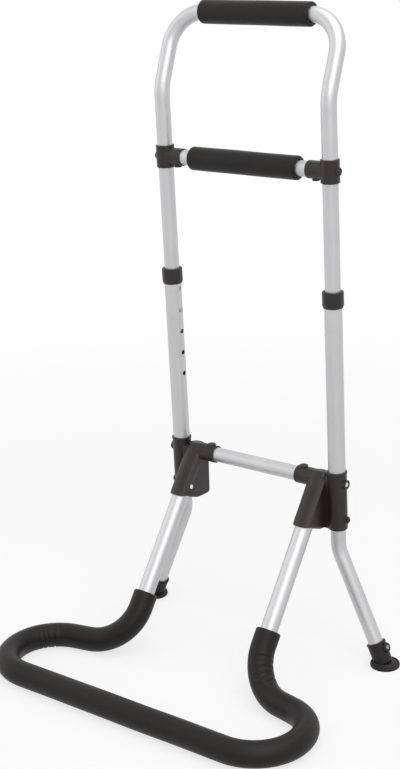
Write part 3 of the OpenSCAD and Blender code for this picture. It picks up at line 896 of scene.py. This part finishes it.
@dataclass
class HandleFrame:
    """The sliding frame: bent tube, top grip, middle grip and T-connectors."""

    layout: Layout
    lower_end: float = 194.5 * MM
    sweep_height: float = 557 * MM
    sweep_angle: float = math.radians(22.2)
    sweep_length: float = 111.5 * MM
    sweep_radius: float = 70 * MM
    corner_radius: float = 52 * MM
    handle_height: float = 457.5 * MM
    grip_diameter: float = 34 * MM
    top_grip_length: float = 186 * MM
    middle_grip_length: float = 185 * MM
    grip_edge: float = 3 * MM
    tee_rounding: float = 0.7 * MM

    def build(self, palette: Palette) -> None:
        """Makes and dresses every piece of the sliding frame.

        Args:
            palette: The materials.
        """
        layout = self.layout
        back = self.sweep_length * math.sin(self.sweep_angle)
        up = self.sweep_height + self.sweep_length * math.cos(self.sweep_angle)
        top = layout.on_upright(up, back)
        corners = mirrored([layout.on_upright(self.lower_end), layout.on_upright(self.sweep_height), top])
        route = Route(corners, [self.sweep_radius, self.corner_radius, self.corner_radius, self.sweep_radius])
        piece = tube("upper_frame_tube", route, layout.inner_tube, layout.tube_wall, (0, 1, 0))
        dress(piece, palette.tube, "handle", ["upper_frame"])
        middle = layout.on_upright(self.handle_height)
        self.grip("top_grip", top, self.top_grip_length, 0.0, palette)
        self.grip("middle_grip", middle, self.middle_grip_length, 1.7, palette)
        paint("handle_tube", palette.tube_along((1.0, 0.0, 0.0)))
        for side in Side:
            node = f"tee_{side.word}"
            piece = softened(node, f"{node}_moulded", self.tee_rounding)
            dress(piece, palette.nylon, "handle", [node])
            paint(f"guide_bush_{side.word}", palette.nylon)
            paint(f"height_button_{side.word}", palette.rubbed_and_shaded_steel)
            sprung_clip("height", side, "handle", palette.steel)
        for node in ("tee_side_screws", "tee_lower_screws"):
            paint(node, palette.nylon)

    def grip(self, node: str, centre: np.ndarray, length: float, phase: float, palette: Palette) -> None:
        """A foam grip: a sleeve along X whose skin swells and dips a fifth of a millimetre.

        Args:
            node: The CAD node that it replaces.
            centre: A point at the grip's height and depth.
            length: Its length.
            phase: Shifts the swell, so that the two grips differ.
            palette: The materials.
        """
        middle = centre * (0, 1, 1)
        half = np.array([length / 2, 0.0, 0.0])
        route = Route([middle - half, middle + half], [])
        waves = (Wave(0.1 * MM, 17 * MM, 1, phase), Wave(0.07 * MM, 29 * MM, -2, 2 * phase))

        def relief(s: np.ndarray, v: np.ndarray, toward: np.ndarray) -> np.ndarray:
            """Height of the skin over the smooth sleeve, which has no bend."""
            return sum(wave.over(s, v) for wave in waves)

        s, r = hollow_profile(length, self.grip_diameter / 2, self.layout.inner_tube / 2 + FOAM_GAP,
                              self.grip_edge, FOAM_STEP)
        grid, flat = carried(route, s, r, FOAM_SIDES, (0, 0, 1), relief)
        piece = dress(grid_mesh(f"{node}_foam", grid, flat), palette.foam, "handle", [node])


# Studio


@dataclass(frozen=True)
class SoftBox:
    """A square area lamp that points at the middle of the object."""

    name: str
    place: tuple[float, float, float]
    size: float
    power: float

    def build(self, target: Vector) -> None:
        """Adds the lamp to the scene.

        Args:
            target: The point that it faces.
        """
        data = bpy.data.lights.new(self.name, "AREA")
        data.size = self.size
        data.energy = self.power
        lamp = bpy.data.objects.new(self.name, data)
        lamp.location = self.place
        lamp.rotation_euler = (target - Vector(self.place)).to_track_quat("-Z", "Y").to_euler()
        bpy.context.scene.collection.objects.link(lamp)


def rays_that_see_the_backdrop(owner: bpy.types.ID) -> bpy.types.NodeSocket:
    """A socket that is 1 for camera, glossy and transmission rays, and 0 for the rest.

    Args:
        owner: The material or world.

    Returns:
        The socket.
    """
    ray = add_node(owner, "LightPath")
    carried_on = add_node(owner, "Math", {"operation": "MAXIMUM"},
                          {0: ray.outputs["Is Glossy Ray"], 1: ray.outputs["Is Transmission Ray"]})
    seen = add_node(owner, "Math", {"operation": "MAXIMUM"},
                    {0: ray.outputs["Is Camera Ray"], 1: carried_on.outputs[0]})
    return seen.outputs[0]


@dataclass
class Studio:
    """A pale floor, soft boxes and the camera: a high key, a low fill and a top light."""

    layout: Layout
    boxes: tuple[SoftBox, ...] = (
        SoftBox("key", (2.4, -2.0, 2.9), 3.7, 62.0),
        SoftBox("fill", (-3.0, -1.4, 1.8), 3.0, 14.0),
        SoftBox("top", (0.7, 0.2, 3.6), 3.4, 46.0),
    )
    target: tuple[float, float, float] = (0.0, 0.0, 0.45)
    camera_offset: tuple[float, float, float] = (1.27184, -1.76324, 0.81076)
    azimuth: float = math.radians(37.97)
    pitch: float = math.radians(17.45)
    roll: float = math.radians(-1.72)
    lens: float = 71.89
    sensor_width: float = 36.0
    floor_size: float = 30.0
    floor_colour: str = "#F4F4F4"
    fade_start: float = 0.7
    fade_end: float = 2.2
    lift: float = 0.72
    world_colour: str = "#FFFFFF"
    world_strength: float = 0.48

    def build(self) -> None:
        """Makes the camera, floor, lamps and world."""
        self.camera()
        self.floor()
        for box in self.boxes:
            box.build(Vector(self.target))
        self.world()
        bpy.context.scene.view_settings.view_transform = "Standard"

    def camera(self) -> None:
        """The photograph's camera, placed from the middle of the crossbar."""
        forward = Vector((-math.sin(self.azimuth) * math.cos(self.pitch),
                          math.cos(self.azimuth) * math.cos(self.pitch), -math.sin(self.pitch)))
        right = Vector((math.cos(self.azimuth), math.sin(self.azimuth), 0.0))
        up = right.cross(forward)
        c, s = math.cos(self.roll), math.sin(self.roll)
        across, above = right * c + up * s, up * c - right * s
        data = bpy.data.cameras.new("photograph")
        data.lens = self.lens
        data.sensor_width = self.sensor_width
        data.sensor_fit = "AUTO"
        camera = bpy.data.objects.new("photograph", data)
        turn = Matrix((across, above, -forward)).transposed()
        place = self.layout.crossing + Vector(self.camera_offset)
        camera.matrix_world = Matrix.Translation(place) @ turn.to_4x4()
        bpy.context.scene.collection.objects.link(camera)
        bpy.context.scene.camera = camera

    def floor(self) -> None:
        """A wide pale floor that the camera sees near white, with its soft shadow."""
        half = self.floor_size / 2
        mesh = bpy.data.meshes.new("floor")
        corners = [(-half, -half, 0), (half, -half, 0), (half, half, 0), (-half, half, 0)]
        mesh.from_pydata(corners, [], [(0, 1, 2, 3)])
        floor = bpy.data.objects.new("floor", mesh)
        bpy.context.scene.collection.objects.link(floor)
        material = new_material("pale_studio_floor")
        shader = add_node(material, "BsdfPrincipled", {
            "Base Color": linear(self.floor_colour), "Roughness": 0.9, "Specular IOR Level": 0.0})
        place = add_node(material, "TexCoord")
        distance = add_node(material, "VectorMath", {"operation": "LENGTH"}, {0: place.outputs["Object"]})
        far = add_node(material, "MapRange", {
            "interpolation_type": "SMOOTHSTEP", "From Min": self.fade_start, "From Max": self.fade_end,
            "To Min": self.lift, "To Max": 1.0,
        }, {"Value": distance.outputs["Value"]})
        share = add_node(material, "Math", {"operation": "MULTIPLY"},
                         {0: far.outputs[0], 1: rays_that_see_the_backdrop(material)})
        white = add_node(material, "Emission", {"Color": (1, 1, 1, 1), "Strength": 1.0})
        both = add_node(material, "MixShader",
                        links={0: share.outputs[0], 1: shader.outputs[0], 2: white.outputs[0]})
        add_node(material, "OutputMaterial", links={"Surface": both.outputs[0]})
        mesh.materials.append(material)

    def world(self) -> None:
        """Even light from all round, seen as white by the camera."""
        world = bpy.data.worlds.new("studio")
        world.use_nodes = True
        world.node_tree.nodes.clear()
        plain = add_node(world, "Background",
                         {"Color": linear(self.world_colour), "Strength": self.world_strength})
        white = add_node(world, "Background", {"Color": (1, 1, 1, 1), "Strength": 1.0})
        mixed = add_node(world, "MixShader", links={
            0: rays_that_see_the_backdrop(world), 1: plain.outputs[0], 2: white.outputs[0]})
        add_node(world, "OutputWorld", links={"Surface": mixed.outputs[0]})
        bpy.context.scene.world = world


def main() -> None:
    """Builds the studio and the object, sub-assembly by sub-assembly."""
    logging.basicConfig(level=logging.INFO, format="%(name)s: %(message)s")
    layout = Layout()
    palette = Palette()
    Studio(layout).build()
    for part in (BaseFrame(layout), HandleFrame(layout)):
        part.build(palette)
        log.info("%s is finished", type(part).__name__)


if __name__ == "__main__":
    main()
